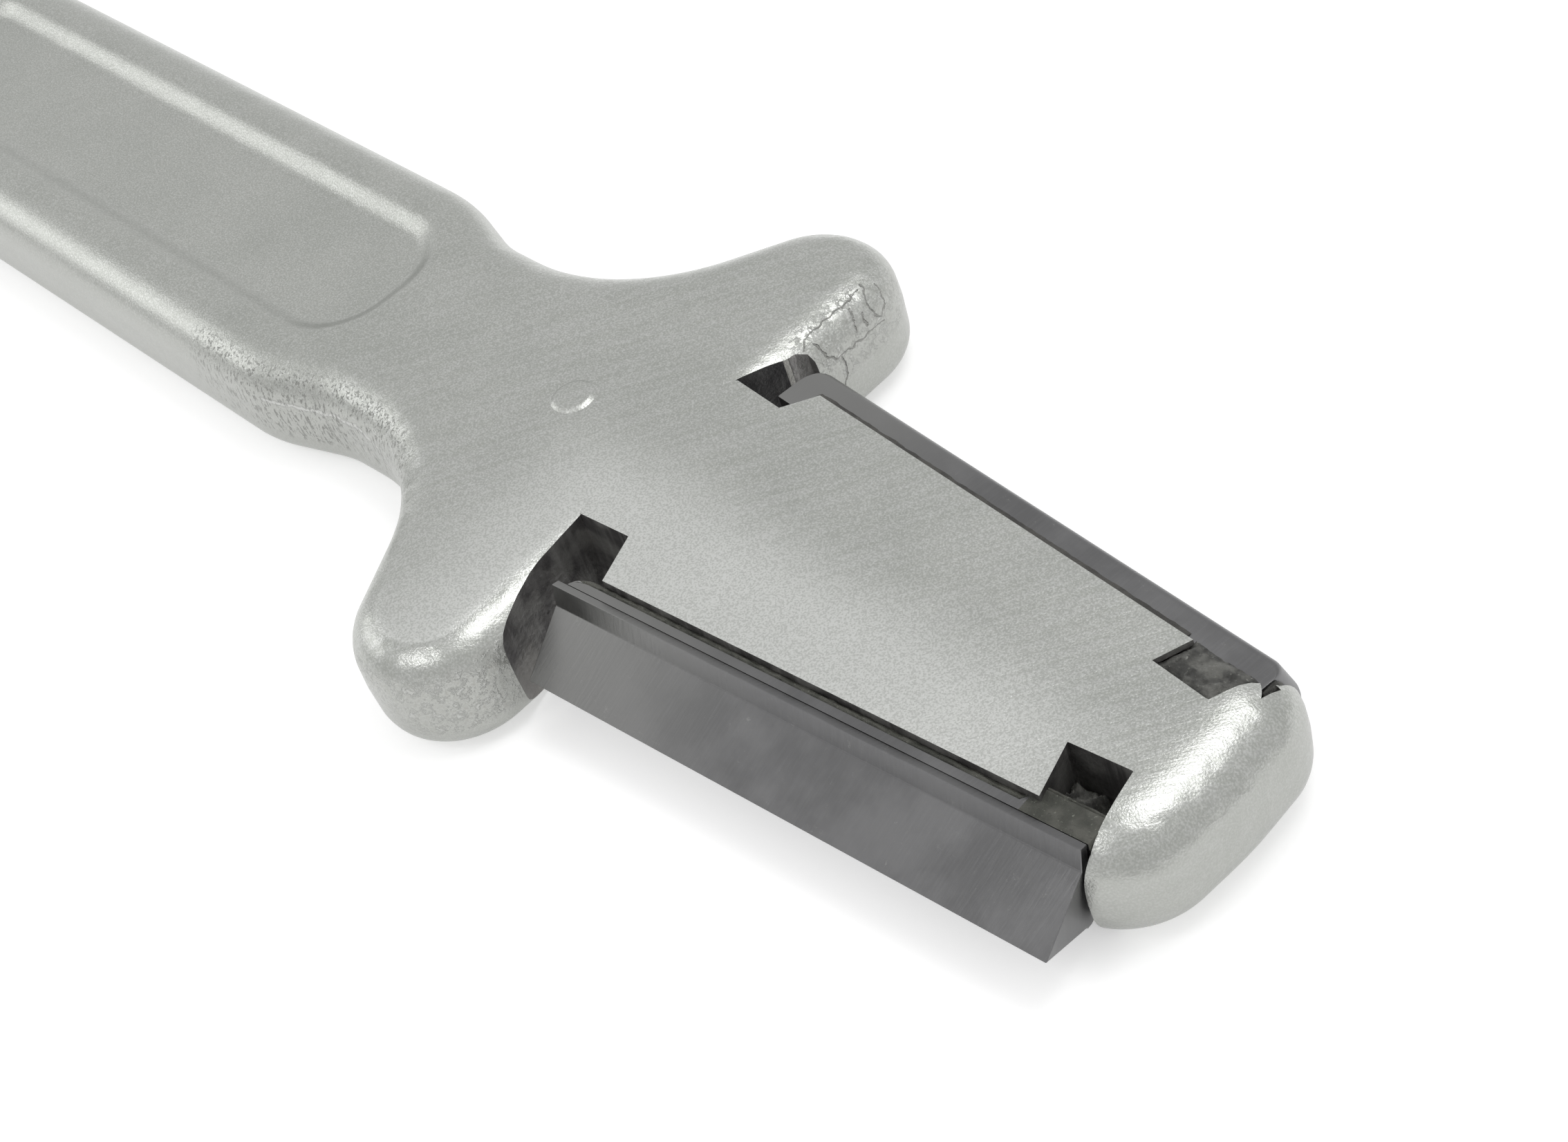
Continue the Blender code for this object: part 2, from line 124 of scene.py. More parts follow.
# Plans of what is cut off the guard's front and the tip's back. Their edges are the notches' swept walls.
GUARD_WALLS = (
    (12.0, -20.0), (3.6, -20.0), (3.15, -19.6), (2.75, -19.0), (2.35, -18.1), (1.65, -16.3), (1.0, -14.4),
    (0.7, -13.2), (0.0, -8.3), (-0.36, 8.5), (0.4, 11.1), (0.85, 12.4), (0.95, 13.3), (1.4, 14.1),
    (1.9, 14.25), (2.6, 14.0), (12.0, 14.0),
)
TIP_WALL_NEAR = (
    (36.0, -3.6), (51.2, -3.6), (51.9, -6.6), (52.3, -8.6), (52.5, -9.5), (52.75, -14.0), (36.0, -14.0),
)
TIP_WALL_FAR = (
    (36.0, 14.0), (53.6, 14.0), (53.6, 7.9), (53.4, 7.4), (53.0, 6.9), (52.5, 6.4), (52.1, 5.7),
    (51.3, 3.6), (36.0, 3.6),
)
# Slot for the drop-nosed bar's tail, as (along, outward) from the plate's edge, and the metal left above
# and below it.
SLOT_CORNERS = ((3.0, -2.7), (54.0, -2.7), (54.0, 1.0), (3.0, 1.0))
SLOT_WALL = 0.5

# The far ear's own finish covers the faces past this corner that don't face straight up.
EAR_CORNER = (-2.0, 11.8, 0.0)
STRAIGHT_UP = 0.9999

# The handle's recess. Its wall crosses its nominal outline at the share RECESS_MIDDLE of its slope.
RECESS_SIDES = (-6.9, 7.6)
RECESS_SPAN = (-119.0, -35.9)
RECESS_CORNER = 6.2
RECESS_DEPTH = 1.2
RECESS_SLOPE = 3.5
RECESS_MIDDLE = 0.55
RECESS_NEAR_STRETCH = 0.06
RECESS_STEPS = 16

# The round mark on the guard stands a little proud of it, with a flat middle and an edge in one S-curve.
PIP_STATION = -10.6
PIP_RADIUS = 1.95
PIP_RISE = 0.26
PIP_EDGE = 0.6
PIP_STEPS = 12

# The bars lie along the plate's edges. A bar's section is in (outward, height), from the edge's line and
# from the mid plane, and the drop-nosed bar's also gives each corner's radius. The triangular bar's ends
# lean with the distance outward. At the tip its lower half is cut back, more so below its heel, and its
# edge swells outward.
BAR_ANGLE = math.radians(4.9)
BAR_BEVEL = 0.07
TRIANGLE_EDGE = 12.6
TRIANGLE_SPAN = (3.3, 53.0)
TRIANGLE_START_LEAN = 0.15
TRIANGLE_END_LEAN = 0.10
TRIANGLE_UNDERCUT = 0.22
TRIANGLE_HEEL = -3.0
TRIANGLE_HEEL_LEAN = 0.35
TRIANGLE_SWELL = 0.27
TRIANGLE_SECTION = ((1.25, 4.45), (1.95, 4.72), (2.42, 2.95), (7.45, 0.0))
DROP_EDGE = 11.1
DROP_SPAN = (3.55, 53.3)
DROP_TOP = 4.2
DROP_SECTION = (
    (-1.6, DROP_TOP, 0.1),
    (2.45, DROP_TOP, 0.8),
    (4.0, 0.0, 3.0),
    (2.45, -DROP_TOP, 0.8),
    (-1.6, -DROP_TOP, 0.1),
)
# The radius of the drop-nosed bar's end at the guard, its reach there, and how its end at the tip narrows.
DROP_CORNER = 2.6
DROP_CORNER_REACH = 2.9
DROP_CORNER_STEPS = 12
DROP_END = 1.4
DROP_END_NARROWING = 0.5
DROP_END_STEPS = 10

# The bead of adhesive beside the plate, and the triangular bar's flat tail beside the bead. The bead starts
# in a rounding. In the notch at the tip it shifts inwards, so that more of the tail shows.
BEAD_SPAN = (4.3, 52.45)
BEAD_STEPS = 160
BEAD_CROWDING = 1.6
BEAD_PARTS = 14
BEAD_TOP = 4.22
BEAD_SWELL = 0.18
BEAD_GRIT = 0.10
BEAD_ROUNDING = 1.9
BEAD_SHIFT_STATION = 46.6
BEAD_SHIFT_RUN = 0.5
BEAD_PLATE_SHIFT = 1.3
BEAD_TAIL_SHIFT = 1.5
BEAD_TIP_STATION = 51.0
BEAD_TIP_LOWEST = 1.6
TAIL_WIDTHS = (0.52, 1.22)
TAIL_TOP = 4.45
TAIL_FOOT = 3.9

# The dark line on the drop bar's flat top, along the plate's edge: adhesive, and a painted shadow of the
# edge.
SEAM_START = 6.3
SEAM_LENGTH = 39.9
SEAM_STEPS = 200
SEAM_WIDTH = 0.74
SEAM_WAVER = 0.10

# Rough pads of adhesive, as (corners in plan, height of the top, rise of its lumps, columns, rows). A pad's
# rim falls away over one part in PAD_RIM of its length and width.
NOTCH_FILLER = (((45.95, 4.2), (51.35, 3.75), (52.6, 6.9), (47.0, 7.3)), 9.62, 0.26, 52, 36)
TIP_SEAM = (((51.2, 5.8), (53.2, 6.6), (53.58, 8.0), (52.3, 7.7)), 8.98, 0.16, 30, 18)
NOTCH_RESIDUE = (((46.2, -8.0), (46.2, -4.4), (48.6, -4.1), (49.6, -7.6)), 6.6, 0.9, 36, 36)
PAD_RIM = 6

# Flow lines on the far ear's front, as (y, z - x) along its rounded face.
FLOW_LINES = (
    ((14.1, 7.8), (14.8, 8.7), (16.5, 8.9), (19.5, 8.9), (21.2, 9.2)),
    ((21.6, 9.4), (20.9, 7.1), (20.8, 5.8), (21.5, 5.4), (22.3, 6.2), (22.7, 8.4)),
    ((21.5, 4.8), (19.1, 4.7), (16.3, 4.7), (15.4, 5.7), (15.1, 7.6)),
    ((16.6, 4.5), (16.5, 3.4), (16.0, 1.9)),
    ((19.3, 8.1), (18.8, 5.7)),
    ((20.0, 7.0), (19.8, 5.4)),
)
FLOW_LINES_SPAN = (X, -1.0, 6.0, 0.5)
FLOW_LINES_WAVER = 1.1
# Fold on the neck's near side, as (x, z).
FOLD_LINE = (((-39.0, 6.9), (-34.5, 6.75), (-28.2, 7.2), (-25.1, 6.3), (-22.5, 4.6)),)
FOLD_WAVER = 0.8
# Distances from the lines are cut off here.
BEYOND_LINES = 9.0

# Regions of the casting, each made of spans (axis, low, high, soft edge).
# The plate's region is a painted sheen: the near part of the upper face is lightened as if lit.
PAINTED_SHEEN_SPANS = ((X, 0.0, 42.0, 12.0), (Y, -30.0, -6.0, 8.0), (Z, 9.8, 10.5, 0.1))
FAR_EAR_WEAR = ((X, 0.0, 4.0, 1.0), (Y, 14.0, 25.0, 1.5), (Z, 5.0, 9.6, 0.6))
NEAR_EAR_WEAR = ((X, -9.0, 4.0, 2.0), (Y, -27.0, -15.0, 2.0), (Z, 3.0, 7.8, 0.8))
NEAR_NECK = ((X, -46.0, -19.0, 5.0), (Y, -17.0, -8.0, 2.0))
NECK_SCARS = (Z, 3.5, 8.8, 1.0)

# The slant of the brushing. The brushing and the skin's slow swells fade along x towards the handle.
BRUSH_SLANT = math.radians(55)
HANDLE_FADE = (-45.0, -15.0, 0.25, 1.0)

# Colours of the casting's skin and of what lies on it, in linear light.
CAST_SHADES = ((0.463, 0.475, 0.447), (0.500, 0.510, 0.482))
BRUSHED = (0.57, 0.575, 0.56)
# The colour of the painted sheen on the near part of the upper face.
PAINTED_SHEEN_COLOUR = (0.72, 0.73, 0.705)
GRAIN_DARK = (0.27, 0.28, 0.26)
GRAIN_LIGHT = (0.66, 0.67, 0.66)
# The colour of the painted shade on faces that turn sideways.
SIDE_SHADE_COLOUR = (0.37, 0.375, 0.355)
# The colour of the painted highlight along the crest of the fold on the neck.
FOLD_CREST_HIGHLIGHT = (0.66, 0.66, 0.65)
SCAR = (0.16, 0.155, 0.145)
WORN_PATCH = (0.64, 0.64, 0.63)
WORN_STAIN = (0.22, 0.205, 0.185)

# Colours of the notches' walls, then their patches, as (region, strength, colour): painted light on the
# near ear's lower part, painted shade in the hollow in the far notch at the guard, painted light on the
# pocket's wall beside it, and a painted glint on the arris between them.
NOTCH_SHADES = ((0.12, 0.115, 0.115), (0.30, 0.295, 0.285))
NOTCH_RUNS = (0.46, 0.455, 0.445)
NOTCH_PATCHES = (
    (((Y, -30.0, -17.4, 0.8), (Z, -1.0, 4.6, 1.2)), 0.5, (0.36, 0.35, 0.33)),
    (((X, -2.0, 1.6, 0.3), (Y, 8.0, 12.4, 0.3)), 0.6, (0.06, 0.06, 0.065)),
    (((X, -1.0, 3.0, 0.3), (Y, 12.8, 15.0, 0.2)), 0.6, (0.42, 0.41, 0.40)),
    (((X, 0.78, 0.95, 0.05), (Y, 12.2, 12.6, 0.05)), 0.7, (0.70, 0.69, 0.65)),
)

# Colours of the carbide, which is paler at the guard, and of the adhesives, as (dark, light, speck).
CARBIDE_SHADES = ((0.150, 0.150, 0.152), (0.185, 0.185, 0.187))
CARBIDE_PALE_SPAN = (X, 0.0, 6.0, 22.0)
CARBIDE_PALE = (0.25, 0.25, 0.243)
CARBIDE_MARK = (0.215, 0.215, 0.217)
CARBIDE_SPECK = (0.33, 0.33, 0.32)
BEAD_COLOURS = ((0.05, 0.052, 0.042), (0.10, 0.10, 0.085), (0.26, 0.27, 0.23))
# The seam's dark colours stand for adhesive and also for the shadow of the plate's edge, as painted shade.
SEAM_COLOURS = ((0.040, 0.038, 0.034), (0.075, 0.072, 0.064), (0.12, 0.12, 0.11))
FILLER_COLOURS = ((0.05, 0.05, 0.046), (0.18, 0.18, 0.165), (0.36, 0.36, 0.33))
ADHESIVE_PIT = (0.02, 0.02, 0.018)

FLOOR_REACH = 900.0
FLOOR_DEPTH = 2.0
FLOOR_COLOUR = (0.78, 0.78, 0.78)
FLOOR_GLOW = 0.42
WORLD_LEVEL = 0.80
WHITE = (1.0, 1.0, 1.0)
# Area lights, as (name, place, size, power, target).
LIGHTS = (
    ("overhead", (70.0, 130.0, 395.0), (230.0, 170.0), 0.38, (10.0, 0.0, 5.0)),
    ("handle_side", (-368.0, -176.0, 190.0), (230.0, 170.0), 0.13, (-60.0, 0.0, 5.0)),
    ("near_side", (-10.0, -218.0, 345.0), (90.0, 90.0), 0.12, (40.0, -10.0, 5.0)),
)


# Geometry


def metres(x, y, z):
    return Vector(((x + ORIGIN_X) * MM, y * MM, z * MM))


def heading(start, end):
    length = math.hypot(end[0] - start[0], end[1] - start[1])
    return (end[0] - start[0]) / length, (end[1] - start[1]) / length


def rounded(corners):
    """Points of a closed outline with corners (x, y, radius). Arcs that would meet share their side."""
    count = len(corners)
    headings = [heading(corners[index - 1], corners[index]) for index in range(count)]
    turns = []
    for index, (in_x, in_y) in enumerate(headings):
        out_x, out_y = headings[(index + 1) % count]
        turns.append(math.atan2(in_x * out_y - in_y * out_x, in_x * out_x + in_y * out_y))
    runs = [corner[2] * math.tan(abs(turn) / 2) for corner, turn in zip(corners, turns)]
    points = []
    for index, (x, y, _) in enumerate(corners):
        turn = turns[index]
        after = (index + 1) % count
        length_in = math.dist(corners[index - 1][:2], (x, y))
        length_out = math.dist(corners[after][:2], (x, y))
        fit_in = ARC_FIT * length_in / (runs[index] + runs[index - 1])
        fit_out = ARC_FIT * length_out / (runs[index] + runs[after])
        run = runs[index] * min(1, fit_in, fit_out)
        radius = run / math.tan(abs(turn) / 2)
        side = math.copysign(1, turn)
        in_x, in_y = headings[index]
        start = (x - in_x * run, y - in_y * run)
        centre = (start[0] - in_y * radius * side, start[1] + in_x * radius * side)
        first = math.atan2(start[1] - centre[1], start[0] - centre[0])
        steps = max(2, math.ceil(abs(turn) / ARC_STEP))
        for step in range(steps + 1):
            angle = first + turn * step / steps
            points.append((centre[0] + radius * math.cos(angle), centre[1] + radius * math.sin(angle)))
    return points


def inset(outline, distance):
    """An anticlockwise outline, moved inwards by a distance, with its corners kept as corners."""
    points = []
    for index, point in enumerate(outline):
        in_x, in_y = heading(outline[index - 1], point)
        out_x, out_y = heading(point, outline[(index + 1) % len(outline)])
        normal_x, normal_y = -in_y - out_y, in_x + out_x
        share = distance / (1 + in_x * out_x + in_y * out_y)
        points.append((point[0] + normal_x * share, point[1] + normal_y * share))
    return points


def quarter_turn(step, steps):
    return math.pi / 2 * step / steps


def s_curve(share):
    """From zero to one, level at both ends."""
    return share ** 3 * (10 - 15 * share + 6 * share * share)


def rough(place, fall, octaves):
    """Noise about zero at a place, the same in each run."""
    return noise.fractal(Vector(place), fall, LACUNARITY, octaves)


def as_object(name, shape):
    """The object that a closed shape gives, with its faces turned outwards."""
    bmesh.ops.recalc_face_normals(shape, faces=shape.faces)
    mesh = bpy.data.meshes.new(name)
    shape.to_mesh(mesh)
    shape.free()
    solid = bpy.data.objects.new(name, mesh)
    bpy.context.scene.collection.objects.link(solid)
    return solid


def loft(name, rings):
    """A closed solid through rings of (x, y, z) points, with flat ends."""
    shape = bmesh.new()
    loops = [[shape.verts.new(metres(*point)) for point in ring] for ring in rings]
    for low, high in zip(loops, loops[1:]):
        for index in range(len(low)):
            shape.faces.new((low[index - 1], low[index], high[index], high[index - 1]))
    shape.faces.new(list(reversed(loops[0])))
    shape.faces.new(loops[-1])
    return as_object(name, shape)


def prism(name, outline, low, high):
    return loft(name, [[(x, y, z) for x, y in outline] for z in (low, high)])


def casting_rings(outline, top_radius=TOP_RADIUS, bottom_radius=BOTTOM_RADIUS):
    """Rings of the casting's section, from its lower face, past the parting line, to its upper face."""
    levels = []
    for radius, face, sign in ((bottom_radius, 0.0, 1), (top_radius, THICKNESS, -1)):
        lean = (MID - radius) * math.tan(DRAFT)
        half = []
        for step in range(ROUNDING_STEPS + 1):
            angle = quarter_turn(step, ROUNDING_STEPS)
            out = ROUNDING_STRETCH * (1 - math.sin(angle) ** (2 / ROUNDING_POWER))
            down = 1 - abs(math.cos(angle)) ** (2 / ROUNDING_POWER)
            half.append((lean + radius * out, face + sign * radius * down))
        levels.append(half)
    lower, upper = levels
    return [[(x, y, z) for x, y in inset(outline, d)] for d, z in lower + [(0.0, MID)] + upper[::-1]]


def evaluated(obj):
    """Makes an object's mesh the one that its modifiers give."""
    graph = bpy.context.evaluated_depsgraph_get()
    mesh = bpy.data.meshes.new_from_object(
        obj.evaluated_get(graph), preserve_all_data_layers=True, depsgraph=graph
    )
    obj.modifiers.clear()
    obj.data = mesh


def combine(obj, steps):
    """Joins solids to an object or cuts them from it, in order, and removes them."""
    for operation, other in steps:
        modifier = obj.modifiers.new(other.name, "BOOLEAN")
        modifier.operation = operation
        modifier.solver = "EXACT"
        modifier.material_mode = "TRANSFER"
        modifier.object = other
    evaluated(obj)
    for _, other in steps:
        bpy.data.objects.remove(other, do_unlink=True)


def smooth(obj, angle=SHARP_ANGLE):
    """Smooth shading that leaves the large flat faces flat."""
    obj.data.shade_smooth()
    obj.data.set_sharp_from_angle(angle=angle)
    modifier = obj.modifiers.new("normals", "WEIGHTED_NORMAL")
    modifier.keep_sharp = True
    modifier.weight = NORMAL_WEIGHT
    evaluated(obj)


def bevel(obj, width, segments, angle=math.radians(25), material=-1):
    modifier = obj.modifiers.new("bevel", "BEVEL")
    modifier.width = width * MM
    modifier.segments = segments
    modifier.limit_method = "ANGLE"
    modifier.angle_limit = angle
    modifier.material = material
    evaluated(obj)


def beside_plate(edge, side, along, outward):
    """The point at a distance along the plate's edge from station zero, and outward from it."""
    x = along * math.cos(BAR_ANGLE) + outward * math.sin(BAR_ANGLE)
    y = edge + outward * math.cos(BAR_ANGLE) - along * math.sin(BAR_ANGLE)
    return x, side * y


# Materials


class Graph:
    """A material's nodes, with short calls to add and join them."""

    def __init__(self, name):
        self.material = bpy.data.materials.new(name)
        self.material.use_nodes = True
        self.tree = self.material.node_tree
        self.shader = self.tree.nodes["Principled BSDF"]
        place = self.add("ShaderNodeTexCoord").outputs["Object"]
        self.place = self.add(
            "ShaderNodeMapping", {"Vector": place, "Location": (-ORIGIN_X, 0, 0), "Scale": (1 / MM,) * 3}
        ).outputs[0]
        self.axes = self.add("ShaderNodeSeparateXYZ", {"Vector": self.place}).outputs

    def fill(self, socket, value):
        if isinstance(value, bpy.types.NodeSocket):
            self.tree.links.new(value, socket)
        elif isinstance(value, tuple) and len(value) == 3 and socket.type == "RGBA":
            socket.default_value = (*value, 1.0)
        else:
            socket.default_value = value

    def add(self, kind, inputs=None, **settings):
        node = self.tree.nodes.new(kind)
        for name, value in settings.items():
            setattr(node, name, value)
        for key, value in (inputs or {}).items():
            self.fill(node.inputs[key], value)
        return node

    def math(self, operation, *values, clamp=False):
        inputs = dict(enumerate(values))
        return self.add("ShaderNodeMath", inputs, operation=operation, use_clamp=clamp).outputs[0]

    def vector_math(self, operation, *values):
        """The vector that an operation gives, or the number where it gives one."""
        outputs = self.add("ShaderNodeVectorMath", dict(enumerate(values)), operation=operation).outputs
        return outputs["Value" if operation in ("DOT_PRODUCT", "DISTANCE") else "Vector"]

    def product(self, *values):
        result = values[0]
        for value in values[1:]:
            result = self.math("MULTIPLY", result, value)
        return result

    def mix(self, factor, low, high):
        node = self.add("ShaderNodeMix", {0: factor, 6: low, 7: high}, data_type="RGBA")
        return node.outputs[2]

    def ramp(self, value, low, high, to_low=0.0, to_high=1.0):
        """A value's span from low to high, mapped smoothly to another span."""
        inputs = {0: value, 1: low, 2: high, 3: to_low, 4: to_high}
        return self.add("ShaderNodeMapRange", inputs, interpolation_type="SMOOTHSTEP").outputs[0]

    def stretched(self, scale, turn=0.0):
        """The place in millimetres, turned about Z and scaled."""
        inputs = {"Vector": self.place, "Rotation": (0, 0, turn)}
        turned = self.add("ShaderNodeMapping", inputs, vector_type="TEXTURE").outputs[0]
        return self.add("ShaderNodeMapping", {"Vector": turned, "Scale": scale}).outputs[0]

    def noise(self, scale, detail=3.0, vector=None, roughness=0.5):
        inputs = {"Vector": vector or self.place, "Scale": scale, "Detail": detail, "Roughness": roughness}
        return self.add("ShaderNodeTexNoise", inputs).outputs[0]

    def within(self, axis, low, high, soft):
        """One where a coordinate lies between two values, fading to zero outside."""
        value = self.axes[axis]
        rise = self.ramp(value, low - soft, low)
        return self.math("MULTIPLY", rise, self.ramp(value, high, high + soft, 1.0, 0.0))

    def region(self, spans):
        """One where every span holds, fading to zero outside."""
        result = self.within(*spans[0])
        for span in spans[1:]:
            result = self.math("MULTIPLY", result, self.within(*span))
        return result

    def bump(self, height, distance, normal=None):
        inputs = {"Height": height, "Distance": distance * MM}
        if normal is not None:
            inputs["Normal"] = normal
        return self.add("ShaderNodeBump", inputs).outputs[0]

    def finish(self, colour, roughness, normal, metallic):
        self.fill(self.shader.inputs["Base Color"], colour)
        self.fill(self.shader.inputs["Roughness"], roughness)
        self.fill(self.shader.inputs["Normal"], normal)
        self.shader.inputs["Metallic"].default_value = metallic
        return self.material


def drawn_lines(graph, across, down, paths, waver):
    """The distance in millimetres from the nearest of some wavering paths in the plane (across, down)."""
    plane = graph.add("ShaderNodeCombineXYZ", {0: across, 1: down}).outputs[0]
    inputs = {"Vector": graph.place, "Scale": 1.1, "Detail": 4.0}
    ragged = graph.add("ShaderNodeTexNoise", inputs).outputs[1]
    ragged = graph.vector_math("SUBTRACT", ragged, (0.5, 0.5, 0.5))
    ragged = graph.vector_math("MULTIPLY", ragged, (waver, waver, 0.0))
    plane = graph.vector_math("ADD", plane, ragged)
    nearest = BEYOND_LINES
    for path in paths:
        for start, end in zip(path, path[1:]):
            start, end = Vector((*start, 0.0)), Vector((*end, 0.0))
            run = end - start
            away = graph.vector_math("SUBTRACT", plane, tuple(start))
            share = graph.vector_math("DOT_PRODUCT", away, tuple(run / run.length_squared))
            share = graph.math("MULTIPLY", share, 1.0, clamp=True)
            inputs = {0: tuple(run), "Scale": share}
            foot = graph.add("ShaderNodeVectorMath", inputs, operation="SCALE").outputs[0]
            distance = graph.vector_math("DISTANCE", away, foot)
            nearest = graph.math("MINIMUM", distance, nearest)
    return nearest


def aluminium(name, far_ear):
    """Blasted casting, brushed along one slant.

    The far ear has flow lines. The rest has a painted sheen on the near part of the upper face, wear on the
    near ear, and scars and a fold on the neck, with a painted highlight along the fold's crest. Both darken
    the faces that turn sideways, as painted shade. They are two materials because one with all of it has
    more nodes than the renderer holds.
    """
    graph = Graph(name)
    x, y, z = graph.axes
    streaks = graph.noise(1.0, 5.0, graph.stretched((0.10, 1.5, 1.0), BRUSH_SLANT), 0.6)
    grain = graph.noise(6.37, 2.0)
    pits = graph.noise(1.6, 5.0, roughness=0.7)
    cloud = graph.noise(0.12, 3.0)
    colour = graph.mix(graph.ramp(cloud, 0.3, 0.7), *CAST_SHADES)
    brushed = graph.product(graph.ramp(streaks, 0.40, 0.62), graph.ramp(x, *HANDLE_FADE))
    colour = graph.mix(graph.product(brushed, 0.48), colour, BRUSHED)
    if not far_ear:
        # A painted sheen: the near part of the upper face, from the near ear to the tip, is lightened as if
        # lit.
        painted_sheen = graph.product(graph.region(PAINTED_SHEEN_SPANS), 0.9)
        colour = graph.mix(painted_sheen, colour, PAINTED_SHEEN_COLOUR)
    colour = graph.mix(graph.ramp(grain, 0.36, 0.60, 0.36, 0.0), colour, GRAIN_DARK)
    colour = graph.mix(graph.ramp(grain, 0.52, 0.72, 0.0, 0.42), colour, GRAIN_LIGHT)
    facing = graph.add("ShaderNodeNewGeometry").outputs["Normal"]
    upright = graph.math("ABSOLUTE", graph.add("ShaderNodeSeparateXYZ", {"Vector": facing}).outputs[2])
    # Painted shade: the more a face turns sideways, the darker it is coloured.
    side = graph.ramp(upright, 0.25, 0.85, 1.0, 0.0)
    colour = graph.mix(graph.product(side, 0.65), colour, SIDE_SHADE_COLOUR)

    if far_ear:
        worn = graph.product(graph.region(FAR_EAR_WEAR), 0.6)
        scars = drawn_lines(graph, y, graph.math("SUBTRACT", z, x), FLOW_LINES, FLOW_LINES_WAVER)
        scars = graph.product(graph.ramp(scars, 0.02, 0.12, 1.0, 0.0), graph.within(*FLOW_LINES_SPAN), 1.2)
        raised = 0.0
    else:
        worn = graph.product(graph.region(NEAR_EAR_WEAR), 0.8)
        scratches = graph.noise(1.0, 5.0, graph.stretched((3.4, 3.4, 1.1)), 0.7)
        near_neck = graph.region(NEAR_NECK)
        scars = graph.ramp(scratches, 0.34, 0.47, 1.0, 0.0)
        scars = graph.product(near_neck, graph.within(*NECK_SCARS), scars)
        fold = drawn_lines(graph, x, z, FOLD_LINE, FOLD_WAVER)
        raised = graph.product(graph.ramp(fold, 0.08, 0.32, 1.0, 0.0), near_neck, side)
        # Painted highlight: the fold's crest is lightened, besides the bump that raises it.
        colour = graph.mix(graph.product(raised, 0.35), colour, FOLD_CREST_HIGHLIGHT)

    patch = graph.product(worn, graph.ramp(pits, 0.48, 0.64))
    stain = graph.product(worn, graph.ramp(pits, 0.32, 0.45, 1.0, 0.0))
    colour = graph.mix(graph.product(scars, 0.45), colour, SCAR)
    colour = graph.mix(graph.product(patch, 0.22), colour, WORN_PATCH)
    colour = graph.mix(graph.product(stain, 0.35), colour, WORN_STAIN)

    roughness = graph.ramp(cloud, 0.3, 0.7, 0.28, 0.34)
    normal = graph.bump(grain, 0.022)
    normal = graph.bump(brushed, 0.008, normal)
    rounding = graph.ramp(upright, 0.93, 0.995, 1.0, 0.0)
    swells = graph.noise(0.28, 2.0)
    swells = graph.product(swells, rounding, graph.ramp(x, *HANDLE_FADE))
    normal = graph.bump(swells, 0.30, normal)
    marks = graph.math("SUBTRACT", graph.math("ADD", patch, raised), graph.product(scars, 1.3))
    normal = graph.bump(marks, 0.06, normal)
    return graph.finish(colour, roughness, normal, 1.0)


def notch_metal():
    """The walls of the bars' seats, coloured darker than the casting, with lighter runs and painted
    patches.
    """
    graph = Graph("notch_wall")
    smear = graph.noise(0.45, 4.0)
    runs = graph.noise(1.0, 3.0, graph.stretched((1.6, 1.6, 0.12)))
    colour = graph.mix(graph.ramp(smear, 0.35, 0.65), *NOTCH_SHADES)
    colour = graph.mix(graph.ramp(runs, 0.48, 0.72, 0.0, 0.35), colour, NOTCH_RUNS)
    # The patches paint light on lit parts of the walls, shade in the far hollow and a glint on its arris.
    for spans, strength, patch in NOTCH_PATCHES:
        colour = graph.mix(graph.product(graph.region(spans), strength), colour, patch)
    normal = graph.bump(graph.noise(2.5, 4.0), 0.08)
    return graph.finish(colour, 0.48, normal, 0.8)


def carbide():
    """Ground carbide with faint grinding marks, dull smudges and a few pale specks."""
    graph = Graph("carbide")
    marks = graph.noise(1.0, 3.0, graph.stretched((5.0, 0.35, 0.6), -BAR_ANGLE))
    smudge = graph.noise(0.16, 4.0, roughness=0.6)
    specks = graph.ramp(graph.noise(0.9, 8.0, roughness=0.85), 0.60, 0.70)
    colour = graph.mix(graph.ramp(smudge, 0.35, 0.7), *CARBIDE_SHADES)
    colour = graph.mix(graph.product(graph.within(*CARBIDE_PALE_SPAN), 0.8), colour, CARBIDE_PALE)
    colour = graph.mix(graph.ramp(marks, 0.4, 0.7, 0.0, 0.14), colour, CARBIDE_MARK)
    colour = graph.mix(graph.product(specks, 0.6), colour, CARBIDE_SPECK)
    roughness = graph.ramp(smudge, 0.3, 0.7, 0.30, 0.42)
    normal = graph.bump(marks, 0.012)
    return graph.finish(colour, roughness, normal, 1.0)


def adhesive(name, dark, light, speck):
    """Cured adhesive with grit in it."""
    graph = Graph(name)
    grit = graph.noise(2.6, 6.0, roughness=0.75)
    cloud = graph.noise(0.7, 3.0)
    colour = graph.mix(graph.ramp(cloud, 0.35, 0.65), dark, light)
    colour = graph.mix(graph.ramp(grit, 0.58, 0.68, 0.0, 0.8), colour, speck)
    colour = graph.mix(graph.ramp(grit, 0.30, 0.42, 0.7, 0.0), colour, ADHESIVE_PIT)
    normal = graph.bump(grit, 0.20)
    return graph.finish(colour, 0.5, normal, 0.0)


def floor_material():
    """A white floor that shows as white to the camera and in reflections, and keeps the object's shadow."""
    graph = Graph("studio_floor")
    path = graph.add("ShaderNodeLightPath").outputs
    seen = graph.math("MAXIMUM", path["Is Camera Ray"], path["Is Glossy Ray"])
    seen = graph.math("MAXIMUM", seen, path["Is Transmission Ray"])
    levels = {
        "Base Color": FLOOR_COLOUR,
        "Roughness": 1.0,
        "Specular IOR Level": 0.0,
        "Emission Color": WHITE,
        "Emission Strength": graph.product(seen, FLOOR_GLOW),
    }
    for name, value in levels.items():
        graph.fill(graph.shader.inputs[name], value)
    return graph.material


# Pieces


